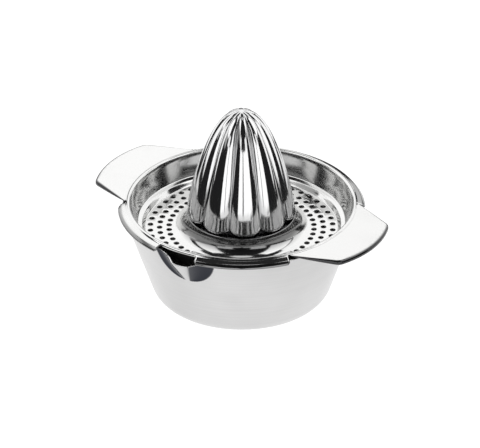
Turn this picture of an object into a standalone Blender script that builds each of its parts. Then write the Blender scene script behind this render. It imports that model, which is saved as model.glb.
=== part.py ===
"""Citrus press in sheet steel: a drawn bowl with a pressed pouring spout, and a lift-out insert.

The insert is a strainer tray, with its beaded rim, flange and two wing handles in one sheet,
and a ribbed reamer cone that is welded into the tray's neck. Metres, +Z up. The origin is the
centre of the bowl's flat base, the spout points along -Y, and the wings lie along X.
"""

from math import atan2, cos, hypot, pi, radians, sin, sqrt, tan

import bmesh
import bpy
from mathutils import Matrix

MM = 0.001

# Bowl
BOWL_RIM_R = 68.5 * MM
BOWL_HEIGHT = 56.8 * MM
BOWL_SHEET = 0.8 * MM
BOWL_TAPER = radians(19.0)
BOWL_CORNER_R = 11.7 * MM

# Pouring spout, pressed into the bowl's wall
SPOUT_HALF_WIDTH = 19.5 * MM
SPOUT_DEPTH = 18.0 * MM
SPOUT_REACH = 5.2 * MM
SPOUT_DIP = 3.8 * MM
SPOUT_DISH = 1.4 * MM
SPOUT_LEAN_CURVE = 2.2
SPOUT_DIP_CURVE = 1.5
TONGUE_LIP_HALF = 5.0 * MM
TONGUE_ROOT_HALF = 1.5 * MM

# Strainer tray
TRAY_SHEET = 0.7 * MM
RIM_CLEARANCE = 0.8 * MM
SEAT_GAP = 0.3 * MM
SKIRT_LAP = 1.2 * MM
FLANGE_FALL = 1.8 * MM
FLANGE_BEND_R = 1.1 * MM
BEAD_TO_RIM = 2.2 * MM
BEAD_R = 1.3 * MM
TRAY_WALL_DEPTH = 13.5 * MM
TRAY_WALL_DRAFT = radians(18.5)
LEDGE_WIDTH = 2.6 * MM
LEDGE_FALL = 0.45 * MM
BAND_WIDTH = 2.2 * MM
PLATE_DEPTH = 16.8 * MM

# Drain holes, three staggered rings between the plate's edge and the neck's foot
HOLE_R = 1.45 * MM
HOLE_RINGS = 3
HOLES_PER_RING = 48
HOLE_EDGE = 2.4 * MM
HOLE_FOOT_EDGE = 1.7 * MM

# Wing handles
WING_REACH = 22.0 * MM
WING_CORNER_HALF = 24.6 * MM
WING_TAPER = radians(22.0)
WING_EDGE_BULGE = 5.4 * MM
WING_STEP = 0.9 * MM
WING_TURN_DOWN = 2.5 * MM
WING_ROOT_TURN_DOWN = 0.6 * MM
WING_ROOT_LAP = 0.4 * MM
WING_NOTCH = 1.2 * MM

# Flange cut-out over the spout, and the way the insert lies in the bowl
CUTOUT_HALF_ANGLE = radians(10.5)
INSERT_TURN = radians(-4.0)

# Reamer cone
CONE_R = 31.8 * MM
CONE_HEIGHT = 66.6 * MM
CONE_SHEET = 0.7 * MM
CONE_SHOULDER = 1.155
CONE_BLUNTNESS = 0.4575
RIBS = 10
RIB_DEPTH = 3.0 * MM
RIB_DEPTH_AT_TIP = 0.22
RIB_CREST_FLATNESS = 2.8
RIB_SCALLOP = 4.5 * MM
SCALLOP_FADE = 4
RIB_PHASE = radians(2.0)
SPIGOT_STEP = 0.5 * MM
SPIGOT_LENGTH = 5.5 * MM
NECK_DEPTH = 6.9 * MM
NECK_OVERHANG = 0.5 * MM
NECK_LIP_ROUND = 0.65 * MM
NECK_FLARE_SHARE = 0.365
FIT_GAP = 0.3 * MM

# Facets
BOWL_STEPS = 72
SPOUT_ROWS = 8
SPOUT_GATHER = 0.62
CORNER_STEPS = 5
TRAY_STEPS = 48
FLARE_STEPS = 5
BEAD_STEPS = 4
BEND_STEPS = 3
HOLE_SIDES = 6
WING_SIDE_STEPS = 4
WING_EDGE_STEPS = 10
WING_ROOT_STEPS = 8
GAP_STEPS = 8
CONE_ROWS = 10
CONE_ROW_CURVE = 1.6
COLUMNS_PER_RIB = 8

# Sizes that follow from the ones above
FLANGE_R = BOWL_RIM_R + RIM_CLEARANCE + TRAY_SHEET
BEAD_Z = BOWL_HEIGHT + SEAT_GAP + TRAY_SHEET + FLANGE_FALL
BEAD_OUTER_R = BOWL_RIM_R - BEAD_TO_RIM
PLATE_Z = BEAD_Z - PLATE_DEPTH
NECK_Z = BEAD_Z - NECK_DEPTH
NECK_R = CONE_R - NECK_OVERHANG
SPIGOT_R = CONE_R - RIB_DEPTH - SPIGOT_STEP
CONE_BASE_Z = NECK_Z + FIT_GAP
SKIRT_Z = BOWL_HEIGHT - SKIRT_LAP
WING_Z = BEAD_Z - WING_STEP
CUTTER_MARGIN = 2 * TRAY_SHEET


def clear_scene():
    for found in list(bpy.data.objects):
        bpy.data.objects.remove(found, do_unlink=True)


def new_collection(name, hidden=False):
    made = bpy.data.collections.new(name)
    made.hide_render = hidden
    bpy.context.scene.collection.children.link(made)
    return made


def steel(name, shade, roughness):
    made = bpy.data.materials.new(name)
    made.use_nodes = True
    shader = made.node_tree.nodes["Principled BSDF"]
    shader.inputs["Base Color"].default_value = (shade, shade, shade, 1.0)
    shader.inputs["Metallic"].default_value = 1.0
    shader.inputs["Roughness"].default_value = roughness
    return made


def new_object(name, mesh, collection, material=None):
    made = bpy.data.objects.new(name, mesh)
    collection.objects.link(made)
    if material:
        mesh.materials.append(material)
    return made


def as_cutter(obj):
    obj.hide_render = True
    obj.display_type = "WIRE"
    return obj


def arc(centre, radius, start, end, steps):
    """Points on a circle in the (r, z) plane, angles measured from +r towards +z."""
    turns = [start + (end - start) * i / steps for i in range(steps + 1)]
    return [(centre[0] + radius * cos(t), centre[1] + radius * sin(t)) for t in turns]


def turned_mesh(name, profile, steps):
    """The surface that the (r, z) profile sweeps about Z, as a plain mesh."""
    line = bpy.data.meshes.new(name + "_profile")
    edges = [(i, i + 1) for i in range(len(profile) - 1)]
    line.from_pydata([(r, 0.0, z) for r, z in profile], edges, [])
    guide = bpy.data.objects.new(name + "_profile", line)
    bpy.context.scene.collection.objects.link(guide)
    screw = guide.modifiers.new("turn", "SCREW")
    screw.axis = "Z"
    screw.angle = 2 * pi
    screw.steps = steps
    screw.render_steps = steps
    screw.use_merge_vertices = True
    screw.merge_threshold = 0.00001
    bpy.context.view_layer.update()
    graph = bpy.context.evaluated_depsgraph_get()
    mesh = bpy.data.meshes.new_from_object(guide.evaluated_get(graph))
    mesh.name = name
    bpy.data.objects.remove(guide, do_unlink=True)
    return mesh


def add_thickness(obj, thickness):
    """A wall on the side that the faces look away from."""
    wall = obj.modifiers.new("sheet", "SOLIDIFY")
    wall.thickness = thickness
    wall.offset = -1.0
    wall.use_even_offset = True
    wall.use_rim = True


def add_boolean(obj, operation, operand):
    step = obj.modifiers.new(operand.name, "BOOLEAN")
    step.operation = operation
    step.solver = "EXACT"
    step.object = operand


def smooth(obj, angle=radians(30.0)):
    obj.data.shade_smooth()
    obj.data.set_sharp_from_angle(angle=angle)


# ---------------------------------------------------------------- bowl


def bowl_wall_r(z):
    return BOWL_RIM_R - (BOWL_HEIGHT - z) * tan(BOWL_TAPER)


def bowl_profile():
    """Outside of the bowl: rows across the spout's height, the wall, the round corner, the base."""
    points = [BOWL_HEIGHT - SPOUT_DEPTH * i / SPOUT_ROWS for i in range(SPOUT_ROWS + 1)]
    profile = [(bowl_wall_r(z), z) for z in points]
    corner_r = BOWL_CORNER_R
    centre_z = corner_r
    centre_r = bowl_wall_r(centre_z) - corner_r / cos(BOWL_TAPER)
    profile += arc((centre_r, centre_z), corner_r, -BOWL_TAPER, -pi / 2, CORNER_STEPS)
    return profile + [(0.0, 0.0)]


def spout_press(across, below):
    """How far the press moves a wall point out and down.

    across is the distance along the rim from the spout's middle, below the depth under the
    rim. The pressed patch is half an ellipse under the rim. Its middle is a tongue that
    widens upwards and leans out, and the flanks beside it are dished between the patch's
    crease and the tongue's edge.
    """
    down = below / SPOUT_DEPTH
    if down >= 1.0:
        return 0.0, 0.0
    crease = SPOUT_HALF_WIDTH * sqrt(1.0 - down * down)
    if across >= crease:
        out = 0.0
    else:
        tongue = TONGUE_LIP_HALF + (TONGUE_ROOT_HALF - TONGUE_LIP_HALF) * down
        lean = SPOUT_REACH * (1.0 - down)
        along = 1.0 if across <= tongue else (crease - across) / (crease - tongue)
        dish = SPOUT_DISH * 4.0 * along * (1.0 - along) * (1.0 - down * down)
        out = lean * along**SPOUT_LEAN_CURVE - dish
    share = min(across / SPOUT_HALF_WIDTH, 1.0)
    sink = SPOUT_DIP * (1.0 - share**SPOUT_DIP_CURVE) * (1.0 - down)
    return out, sink


def press_spout(mesh):
    """Gathers the columns towards -Y, where the spout is, then presses the spout."""
    for vertex in mesh.vertices:
        x, y, z = vertex.co
        r = hypot(x, y)
        if r < BOWL_SHEET:
            continue
        turn = atan2(x, -y)
        turn -= SPOUT_GATHER * sin(turn)
        out, sink = spout_press(abs(turn) * BOWL_RIM_R, BOWL_HEIGHT - z)
        if sink > 0.0 or out != 0.0:
            r = bowl_wall_r(z - sink) + out
            z -= sink
        vertex.co = (r * sin(turn), -r * cos(turn), z)


def make_bowl(collection):
    mesh = turned_mesh("bowl", bowl_profile(), BOWL_STEPS)
    press_spout(mesh)
    bowl = new_object("bowl", mesh, collection, steel("bowl_satin_steel", 0.62, 0.32))
    add_thickness(bowl, BOWL_SHEET)
    smooth(bowl)
    return bowl


# ---------------------------------------------------------------- strainer tray


def tray_radii():
    """Radii of the bead's inner side, wall foot, ledge edge, plate edge and the flare's foot."""
    bead_inner = BEAD_OUTER_R - 2 * BEAD_R
    wall_foot = bead_inner - (TRAY_WALL_DEPTH - BEAD_R) * tan(TRAY_WALL_DRAFT)
    ledge_edge = wall_foot - LEDGE_WIDTH
    plate_edge = ledge_edge - BAND_WIDTH
    flare_foot = NECK_R + NECK_FLARE_SHARE * (plate_edge - NECK_R)
    return bead_inner, wall_foot, ledge_edge, plate_edge, flare_foot


def tray_profile():
    """Upper side of the tray's sheet, from the neck's lip out to the flange's skirt."""
    bead_inner, wall_foot, ledge_edge, plate_edge, flare_foot = tray_radii()
    neck_hole_r = SPIGOT_R + FIT_GAP
    flare_width = flare_foot - NECK_R
    flare_top = NECK_Z - NECK_LIP_ROUND
    flare_drop = flare_top - PLATE_Z
    profile = [(neck_hole_r, NECK_Z), (NECK_R - NECK_LIP_ROUND, NECK_Z)]
    for i in range(FLARE_STEPS + 1):
        turn = pi / 2 * i / FLARE_STEPS
        profile.append((flare_foot - flare_width * cos(turn), flare_top - flare_drop * sin(turn)))
    profile += [(plate_edge, PLATE_Z)]
    profile += [(ledge_edge, BEAD_Z - TRAY_WALL_DEPTH - LEDGE_FALL)]
    profile += [(wall_foot, BEAD_Z - TRAY_WALL_DEPTH)]
    profile += arc((bead_inner + BEAD_R, BEAD_Z - BEAD_R), BEAD_R, pi, pi / 6, BEAD_STEPS)
    bend = (FLANGE_R - FLANGE_BEND_R, BEAD_Z - FLANGE_FALL - FLANGE_BEND_R)
    profile += arc(bend, FLANGE_BEND_R, pi / 3, 0.0, BEND_STEPS)
    profile += [(FLANGE_R, SKIRT_Z)]
    return profile


def add_ring_sector(bm, r_low, r_high, z_low, z_high, middle, half):
    """A closed wedge of a ring, added to bm."""
    rings = []
    for i in range(GAP_STEPS + 1):
        turn = middle - half + 2 * half * i / GAP_STEPS
        corners = [(r_low, z_low), (r_high, z_low), (r_high, z_high), (r_low, z_high)]
        rings.append([bm.verts.new((r * cos(turn), r * sin(turn), z)) for r, z in corners])
    bm.faces.new(rings[0][::-1])
    bm.faces.new(rings[-1])
    for near, far in zip(rings, rings[1:]):
        for k in range(4):
            after = (k + 1) % 4
            bm.faces.new((near[k], near[after], far[after], far[k]))


def wing_root_half_angle():
    """Half angle at which the wings' straight sides, run back from the corners, meet the bead."""
    x = BEAD_OUTER_R + WING_REACH - WING_EDGE_BULGE
    y = WING_CORNER_HALF
    inward = x * cos(WING_TAPER) - y * sin(WING_TAPER)
    length = inward - sqrt(inward**2 - (x * x + y * y - BEAD_OUTER_R**2))
    return atan2(y + length * sin(WING_TAPER), x - length * cos(WING_TAPER))


def flange_gaps(collection):
    """Cutter that takes the flange away over the spout and where the wings leave the bead."""
    bm = bmesh.new()
    low = SKIRT_Z - CUTTER_MARGIN
    high = BEAD_Z + CUTTER_MARGIN
    inner = BEAD_OUTER_R + FIT_GAP
    outer = FLANGE_R + CUTTER_MARGIN
    wing_half = wing_root_half_angle() + WING_NOTCH / BEAD_OUTER_R
    for middle, half in ((-pi / 2, CUTOUT_HALF_ANGLE), (0.0, wing_half), (pi, wing_half)):
        add_ring_sector(bm, inner, outer, low, high, middle, half)
    bmesh.ops.recalc_face_normals(bm, faces=bm.faces)
    mesh = bpy.data.meshes.new("flange_gaps")
    bm.to_mesh(mesh)
    bm.free()
    return as_cutter(new_object("flange_gaps", mesh, collection))


def wing_outline():
    """(x, y, turn-down depth) round a wing's free edge, from one root corner to the other."""
    corner_x = BEAD_OUTER_R + WING_REACH - WING_EDGE_BULGE
    half = WING_CORNER_HALF
    edge_r = (half * half + WING_EDGE_BULGE**2) / (2 * WING_EDGE_BULGE)
    root = wing_root_half_angle()
    root_r = BEAD_OUTER_R - WING_ROOT_LAP
    start = (root_r * cos(root), root_r * sin(root))
    points = []
    for i in range(WING_SIDE_STEPS):
        share = i / WING_SIDE_STEPS
        x = start[0] + (corner_x - start[0]) * share
        y = start[1] + (half - start[1]) * share
        depth = WING_ROOT_TURN_DOWN + (WING_TURN_DOWN - WING_ROOT_TURN_DOWN) * share
        points.append((x, y, depth))
    sweep = atan2(half, edge_r - WING_EDGE_BULGE)
    centre = corner_x + WING_EDGE_BULGE - edge_r
    for i in range(WING_EDGE_STEPS + 1):
        turn = sweep * (1.0 - 2.0 * i / WING_EDGE_STEPS)
        points.append((centre + edge_r * cos(turn), edge_r * sin(turn), WING_TURN_DOWN))
    points += [(x, -y, depth) for x, y, depth in points[WING_SIDE_STEPS - 1 :: -1]]
    return points


def wing_solid(side):
    """One wing as a thin shell: a flat plate whose free edges are turned down."""
    bm = bmesh.new()
    outline = wing_outline()
    top = [bm.verts.new((x, y, WING_Z)) for x, y, _ in outline]
    low = [bm.verts.new((x, y, WING_Z - depth)) for x, y, depth in outline]
    root = wing_root_half_angle()
    root_r = BEAD_OUTER_R - WING_ROOT_LAP
    for i in range(1, WING_ROOT_STEPS):
        turn = -root + 2 * root * i / WING_ROOT_STEPS
        top.append(bm.verts.new((root_r * cos(turn), root_r * sin(turn), WING_Z)))
    bm.faces.new(top)
    for i in range(len(outline) - 1):
        bm.faces.new((top[i], low[i], low[i + 1], top[i + 1]))
    bmesh.ops.recalc_face_normals(bm, faces=bm.faces)
    bm.normal_update()
    if max(bm.faces, key=lambda face: face.calc_area()).normal.z < 0:
        bmesh.ops.reverse_faces(bm, faces=bm.faces)
    mesh = bpy.data.meshes.new("wing_shell")
    bm.to_mesh(mesh)
    bm.free()
    if side < 0:
        mesh.transform(Matrix.Rotation(pi, 4, "Z"))
    return mesh


def make_wings(collection):
    """Both wings as operands that the tray's sheet is joined to."""
    wings = []
    for side, name in ((1, "wing_right"), (-1, "wing_left")):
        wing = as_cutter(new_object(name, wing_solid(side), collection))
        add_thickness(wing, TRAY_SHEET)
        wings.append(wing)
    return wings


def hole_rings():
    """(radius, first angle) of each ring of drain holes, outermost first, staggered."""
    plate_edge, flare_foot = tray_radii()[3:]
    outermost = plate_edge - HOLE_EDGE
    step = (outermost - flare_foot - HOLE_FOOT_EDGE) / (HOLE_RINGS - 1)
    pitch = 2 * pi / HOLES_PER_RING
    return [(outermost - i * step, pitch * (i % 2) / 2) for i in range(HOLE_RINGS)]


def drain_holes(collection):
    bm = bmesh.new()
    depth = TRAY_SHEET + 2 * CUTTER_MARGIN
    for ring_r, first in hole_rings():
        for i in range(HOLES_PER_RING):
            turn = first + 2 * pi * i / HOLES_PER_RING
            place = Matrix.Translation((ring_r * cos(turn), ring_r * sin(turn), PLATE_Z))
            bmesh.ops.create_cone(
                bm,
                cap_ends=True,
                segments=HOLE_SIDES,
                radius1=HOLE_R,
                radius2=HOLE_R,
                depth=depth,
                matrix=place @ Matrix.Rotation(turn, 4, "Z"),
            )
    mesh = bpy.data.meshes.new("drain_holes")
    bm.to_mesh(mesh)
    bm.free()
    return as_cutter(new_object("drain_holes", mesh, collection))


def make_strainer_tray(collection, cutters):
    mesh = turned_mesh("strainer_tray", tray_profile(), TRAY_STEPS)
    tray = new_object("strainer_tray", mesh, collection, steel("tray_mirror_steel", 0.7, 0.08))
    add_thickness(tray, TRAY_SHEET)
    add_boolean(tray, "DIFFERENCE", flange_gaps(cutters))
    for wing in make_wings(cutters):
        add_boolean(tray, "UNION", wing)
    add_boolean(tray, "DIFFERENCE", drain_holes(cutters))
    smooth(tray)
    return tray


# ---------------------------------------------------------------- reamer cone


def cone_r(share):
    """Radius over the rib crests at a share of the cone's height, a blunt pointed arch."""
    return CONE_R * (1.0 - share**CONE_SHOULDER) ** CONE_BLUNTNESS


def cone_profile():
    """Crest line from the tip to the ribs' lower ends, then in to the spigot and down it."""
    shares = [1.0 - (i / CONE_ROWS) ** CONE_ROW_CURVE for i in range(CONE_ROWS + 1)]
    profile = [(cone_r(share), CONE_BASE_Z + CONE_HEIGHT * share) for share in shares]
    profile += [(SPIGOT_R, CONE_BASE_Z), (SPIGOT_R, CONE_BASE_Z - SPIGOT_LENGTH)]
    return profile


def shape_ribs(mesh):
    """Draws the valleys in between the rib crests, and scallops the ribs' lower ends."""
    for vertex in mesh.vertices:
        x, y, z = vertex.co
        r = hypot(x, y)
        above = (z - CONE_BASE_Z) / CONE_HEIGHT
        if r < CONE_SHEET or z < CONE_BASE_Z - FIT_GAP:
            continue
        turn = atan2(y, x)
        off_crest = abs(((turn + pi / 2) * RIBS / (2 * pi) + 0.5) % 1.0 - 0.5) * 2.0
        if r > SPIGOT_R or z > CONE_BASE_Z + RIB_SCALLOP:
            r -= min(RIB_DEPTH, RIB_DEPTH_AT_TIP * r) * off_crest**RIB_CREST_FLATNESS
        lift = RIB_SCALLOP * (1.0 - sqrt(max(0.0, 1.0 - off_crest**2)))
        z += lift * (1.0 - above) ** SCALLOP_FADE
        vertex.co = (r * cos(turn), r * sin(turn), z)


def make_reamer_cone(collection):
    mesh = turned_mesh("reamer_cone", cone_profile(), RIBS * COLUMNS_PER_RIB)
    mesh.transform(Matrix.Rotation(-pi / 2, 4, "Z"))
    shape_ribs(mesh)
    cone = new_object("reamer_cone", mesh, collection, steel("cone_mirror_steel", 0.7, 0.06))
    add_thickness(cone, CONE_SHEET)
    smooth(cone)
    return cone


def main():
    clear_scene()
    press = new_collection("citrus_press")
    cutters = new_collection("cutters", hidden=True)
    insert = bpy.data.objects.new("insert_axis", None)
    press.objects.link(insert)
    make_bowl(press)
    tray = make_strainer_tray(press, cutters)
    cone = make_reamer_cone(press)
    tray.parent = insert
    cone.parent = insert
    for cutter in cutters.objects:
        cutter.parent = insert
    cone.rotation_euler.z = RIB_PHASE
    insert.rotation_euler.z = INSERT_TURN


main()
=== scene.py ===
# %% [markdown]
# # Citrus press, dressed for a close look
#
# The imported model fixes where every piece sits. This lesson builds the fine surfaces over it:
# the satin bowl with its pressed spout, the polished strainer with its drain holes and wings,
# and the ribbed reamer cone. Each piece is a formula on a grid, so each can be read as geometry.
# Everything is in metres, and heights are measured from the table.

from math import atan2, cos, pi, radians, sin, tan

import bmesh
import bpy
import numpy as np
from mathutils import Matrix, Vector


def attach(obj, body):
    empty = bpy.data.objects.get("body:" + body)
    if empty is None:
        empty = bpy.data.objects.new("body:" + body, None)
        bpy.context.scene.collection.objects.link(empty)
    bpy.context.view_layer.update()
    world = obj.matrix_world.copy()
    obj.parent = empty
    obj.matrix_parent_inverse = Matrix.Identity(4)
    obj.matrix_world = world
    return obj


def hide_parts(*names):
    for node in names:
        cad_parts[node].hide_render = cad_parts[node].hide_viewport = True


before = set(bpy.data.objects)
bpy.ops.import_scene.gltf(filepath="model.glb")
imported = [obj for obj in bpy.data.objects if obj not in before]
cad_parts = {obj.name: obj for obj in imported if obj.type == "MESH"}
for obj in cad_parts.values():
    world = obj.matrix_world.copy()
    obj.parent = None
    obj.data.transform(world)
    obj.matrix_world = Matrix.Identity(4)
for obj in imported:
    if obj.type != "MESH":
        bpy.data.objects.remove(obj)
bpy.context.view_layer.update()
MM = 0.001

# %% [markdown]
# ## From a grid to a sheet
# The real press is thin sheet that follows smooth surfaces. It could be modelled by hand, edge by
# edge, but then a change of one size would mean doing it again. Here each surface is an array of
# points, rows by columns, and the faces follow from the numbering of the grid. Where grids meet,
# and where a row shrinks to a pole, the doubled points are welded.

# %% Grid to mesh
WELD = 0.002 * MM


def grid_faces(rows, columns, first=0):
    """Quads of a grid: each joins a point, the next in its row, and the two below them.

    Points are numbered row by row, counted from first.
    """
    index = first + np.arange(rows * columns).reshape(rows, columns)
    corners = (index[:-1, :-1], index[:-1, 1:], index[1:, 1:], index[1:, :-1])
    return np.stack(corners, axis=-1).reshape(-1, 4)


def sheet_mesh(name, patches, masks=None):
    """One mesh of several point grids, welded where their points are closer than WELD.

    Each patch is an array of rows by columns by 3. masks, if given, holds one array of rows by
    columns for each patch, from 0 to 1, which the materials read as the attribute "mask".
    """
    firsts = np.cumsum([0] + [patch.shape[0] * patch.shape[1] for patch in patches])
    points = np.concatenate([patch.reshape(-1, 3) for patch in patches])
    faces = np.concatenate(
        [grid_faces(*patch.shape[:2], first) for patch, first in zip(patches, firsts)]
    )
    mesh = bpy.data.meshes.new(name)
    mesh.vertices.add(len(points))
    mesh.vertices.foreach_set("co", points.astype(np.float32).ravel())
    mesh.loops.add(faces.size)
    mesh.loops.foreach_set("vertex_index", faces.ravel().astype(np.int32))
    mesh.polygons.add(len(faces))
    mesh.polygons.foreach_set("loop_start", np.arange(0, faces.size, 4, dtype=np.int32))
    mesh.update(calc_edges=True)
    if masks is not None:
        values = np.concatenate([mask.ravel() for mask in masks]).astype(np.float32)
        mesh.attributes.new("mask", "FLOAT", "POINT").data.foreach_set("value", values)
    mesh.validate()
    work = bmesh.new()
    work.from_mesh(mesh)
    bmesh.ops.remove_doubles(work, verts=work.verts, dist=WELD)
    bmesh.ops.dissolve_degenerate(work, edges=work.edges, dist=WELD)
    bmesh.ops.recalc_face_normals(work, faces=work.faces)
    work.to_mesh(mesh)
    work.free()
    return mesh


print("a grid of 3 by 4 points has", len(grid_faces(3, 4)), "quads")

# %% [markdown]
# The weld makes all faces of a sheet agree on a side, but not on which one. One face whose
# outward direction is known settles it for the whole sheet. The thickness could be modelled as a
# second surface; a Solidify modifier does the same from one number, and it can give the back
# and the cut edge of the sheet their own finish.


# %% Mesh to piece
def look_outward(mesh, probe, outward):
    """Turns the whole sheet over if the face nearest to the probe looks against outward.

    The nearest face has the least distance from its centre to the probe. It looks against
    outward where the dot product of its normal with outward is negative.
    """
    centres, normals = np.empty((2, 3 * len(mesh.polygons)), np.float32)
    mesh.polygons.foreach_get("center", centres)
    mesh.polygons.foreach_get("normal", normals)
    away = np.linalg.norm(centres.reshape(-1, 3) - np.array(probe), axis=1)
    if np.dot(normals.reshape(-1, 3)[away.argmin()], outward) < 0:
        mesh.flip_normals()


def piece(name, mesh, body, cad_node, thickness):
    """A named piece of the press, riding on its body in place of a node of the CAD.

    The thickness goes in behind the surface, against its normals. Of the mesh's three materials
    the first is on the surface, the second behind it and the third on the cut edges.
    """
    made = bpy.data.objects.new(name, mesh)
    bpy.context.scene.collection.objects.link(made)
    wall = made.modifiers.new("sheet", "SOLIDIFY")
    wall.thickness = thickness
    wall.offset = -1.0
    wall.use_even_offset = True
    wall.use_rim = True
    wall.material_offset = 1
    wall.material_offset_rim = 2
    mesh.shade_smooth()
    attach(made, body)
    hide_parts(cad_node)
    return made


# %% [markdown]
# ## Profiles
# Pressed sheet has straight runs joined by bends, and the bends are what catches the light. They
# could be bevels added afterwards, but bevels fail where grids of different pieces meet. Here
# every profile gets its bends as arcs before it is swept round the axis.


# %% Profile helpers
def smooth_clamp(value, width):
    """The value held between 0 and 1, with both bends rounded over the given width.

    Each bend is a hyperbola: half of the value plus the root of its square and width's square.
    """
    low = 0.5 * (value + np.sqrt(value * value + width * width))
    return 1.0 - 0.5 * ((1.0 - low) + np.sqrt((1.0 - low) ** 2 + width * width))


def rounded_path(corners, radii, step):
    """Points along straight runs whose inner corners are replaced by arcs of the given radii.

    An arc's centre lies on the corner's bisector, at the radius over the sine of the half angle.
    Its points turn evenly from the first tangent point to the last, no more than step apart.
    """
    corners = np.array(corners, float)
    path = [corners[:1]]
    for before, here, after, radius in zip(corners, corners[1:], corners[2:], radii):
        into, out = before - here, after - here
        into, out = into / np.linalg.norm(into), out / np.linalg.norm(out)
        half = 0.5 * np.arccos(np.clip(into @ out, -1.0, 1.0))
        bisector = (into + out) / np.linalg.norm(into + out)
        centre = here + bisector * radius / sin(half)
        reach = radius / tan(half)
        start, end = here + into * reach - centre, here + out * reach - centre
        bend = pi - 2.0 * half
        count = max(3, int(np.ceil(bend * radius / step)) + 1)
        turn = bend * np.linspace(0.0, 1.0, count + 1)[:, None]
        path.append(centre + (start * np.sin(bend - turn) + end * np.sin(turn)) / sin(bend))
    return np.concatenate(path + [corners[-1:]])


def fill_path(path, longest):
    """The same path, with every run cut into equal parts that are no longer than longest."""
    runs = np.diff(path, axis=0)
    parts = np.maximum(1, np.ceil(np.linalg.norm(runs, axis=1) / longest)).astype(int)
    number = 1 + np.arange(parts.sum()) - np.repeat(np.cumsum(parts) - parts, parts)
    start, run, of_parts = (np.repeat(each, parts, axis=0) for each in (path[:-1], runs, parts))
    return np.concatenate([path[:1], start + run * number[:, None] / of_parts[:, None]])


def path_length(path):
    """Length along the path up to each of its points: the running sum of its runs."""
    return np.concatenate([[0.0], np.cumsum(np.linalg.norm(np.diff(path, axis=0), axis=1))])


def turned(profile, turns):
    """The (r, z) profile swept about Z: x is r cos(turn) and y is r sin(turn), a row a point."""
    r, z = profile[:, 0:1], profile[:, 1:2]
    return np.stack([r * np.cos(turns), r * np.sin(turns), z + 0 * turns], axis=-1)


print("a right-angled bend, radius 1 at step 0.5, has",
      len(rounded_path([(0, 0), (2, 0), (2, 2)], [1.0], 0.5)) - 2, "points")

# %% [markdown]
# ## Bowl
# The bowl is deep drawn: a flat base, a round corner and a straight wall that opens by 19
# degrees. A turned profile gives all of that exactly, and a grid keeps its wall ready for the
# spout, where a cylinder with a Boolean cut would leave ragged faces along the crease.

# %% Bowl profile
BOWL_RIM_R = 68.5 * MM
BOWL_HEIGHT = 56.8 * MM
BOWL_SHEET = 0.8 * MM
BOWL_TAPER = radians(19.0)
BOWL_CORNER_R = 11.7 * MM
SPOUT_DEPTH = 18.0 * MM
SPOUT_ROWS = 56
LOWER_WALL_ROWS = 8
CORNER_ROWS = 14
BASE_ROWS = 8


def bowl_wall_r(z):
    """Radius of the straight wall: the rim's, less the depth under the rim times tan(taper)."""
    return BOWL_RIM_R - (BOWL_HEIGHT - z) * tan(BOWL_TAPER)


def bowl_profile():
    """(r, z) from the rim down the straight wall, round the corner's arc and in to the middle.

    The wall has close rows as far down as the spout reaches, and wide ones below it.
    """
    pressed = BOWL_HEIGHT - np.linspace(0.0, SPOUT_DEPTH, SPOUT_ROWS)
    lower = np.linspace(pressed[-1], 0.8 * BOWL_CORNER_R, LOWER_WALL_ROWS)[1:]
    arc_r = bowl_wall_r(BOWL_CORNER_R) - BOWL_CORNER_R / cos(BOWL_TAPER)
    turns = np.linspace(-BOWL_TAPER, -pi / 2, CORNER_ROWS)
    corner_r = arc_r + BOWL_CORNER_R * np.cos(turns)
    corner_z = BOWL_CORNER_R + BOWL_CORNER_R * np.sin(turns)
    straight = np.concatenate([pressed, lower[lower > corner_z[0] + MM]])
    wall = np.stack([bowl_wall_r(straight), straight], 1)
    base_r = np.linspace(arc_r, 0.0, BASE_ROWS)[1:]
    base = np.stack([base_r, 0 * base_r], 1)
    return np.concatenate([wall, np.stack([corner_r, corner_z], 1), base])


print("bowl profile points:", len(bowl_profile()))

# %% [markdown]
# The spout is pressed into the finished wall. A punch leans out a tongue in the middle and the
# flanks beside it are dished, which leaves a crisp half-round crease. Sculpting could give that
# too, but a formula of two lengths, along the rim and down from it, keeps the crease exact.

# %% Spout
SPOUT_HALF_WIDTH = 19.5 * MM
SPOUT_REACH = 5.2 * MM
SPOUT_DIP = 3.8 * MM
SPOUT_DISH = 1.4 * MM
TONGUE_LIP_HALF = 5.0 * MM
TONGUE_ROOT_HALF = 1.5 * MM
LEAN_POWER = 2.2
DIP_POWER = 1.5
BEND_SOFTNESS = 0.05
FLANK_FADE = 0.10


def spout_press(across, below):
    """How far the press moves a wall point out and down, and the mask of the flanks, as arrays.

    across is the distance along the rim from the spout's middle, below the depth under the rim.
    The crease is a half ellipse. along goes from 0 at the crease to 1 at the tongue; the wall
    leans out by a power of it, less the dish, a parabola that is deepest half-way. The lip sinks
    most in the middle. The mask is 1 on a flank and fades out at its crease and at its tongue.
    """
    down = np.clip(below / SPOUT_DEPTH, 0.0, 1.0)
    crease = np.maximum(SPOUT_HALF_WIDTH * np.sqrt(1.0 - down * down), 1e-6)
    tongue = TONGUE_LIP_HALF + (TONGUE_ROOT_HALF - TONGUE_LIP_HALF) * down
    flank_width = np.maximum(crease - tongue, 0.5 * MM)
    along = smooth_clamp((crease - across) / flank_width, BEND_SOFTNESS)
    dish = SPOUT_DISH * 4.0 * along * (1.0 - along) * (1.0 - down * down)
    out = SPOUT_REACH * (1.0 - down) * np.clip(along, 0.0, 1.0) ** LEAN_POWER - dish
    share = np.minimum(across / SPOUT_HALF_WIDTH, 1.0)
    sink = SPOUT_DIP * (1.0 - share**DIP_POWER) * (1.0 - down)
    # The flank mask paints the spout flanks' dark reflection into the bowl's colour.
    flank = np.clip((1.0 - np.abs(2.0 * along - 1.0)) / FLANK_FADE, 0.0, 1.0) * (across < crease)
    return out, sink, flank


print("lip in the middle goes out and down, mm:",
      [round(float(v) / MM, 2) for v in spout_press(0.0, 0.0)[:2]])

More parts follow.
